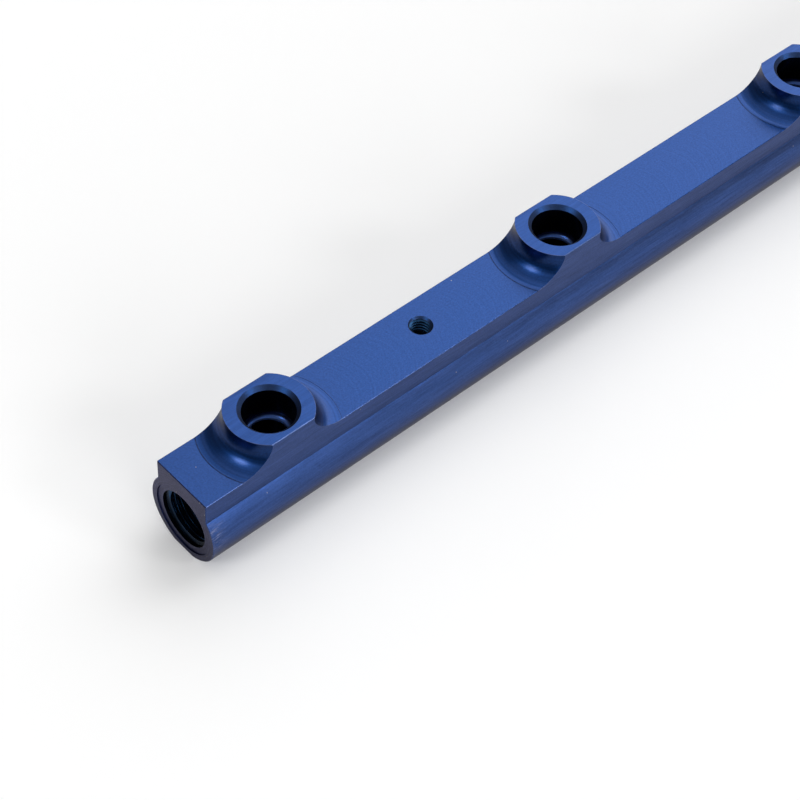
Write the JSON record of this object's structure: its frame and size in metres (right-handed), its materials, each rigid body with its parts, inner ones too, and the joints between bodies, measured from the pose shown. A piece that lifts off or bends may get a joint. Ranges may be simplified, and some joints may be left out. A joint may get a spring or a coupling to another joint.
{
  "type": "fuel rail",
  "caption": "Machined aluminium fuel rail: a round gallery body with a block on top, milled flats between raised injector cups, a threaded port in each end and tapped bracket holes.",
  "frame": {"origin": "on the flat underside, at the middle of the rail's length and width", "axes": "+X along the rail from the short tail to the long one, +Z along the injector cups, out of their mouths"},
  "size_m": [0.3802, 0.0242, 0.033],
  "materials": {
    "anodised_aluminium": "satin"
  },
  "bodies": {
    "root": {"rail_body": "anodised_aluminium"}
  },
  "joints": []
}
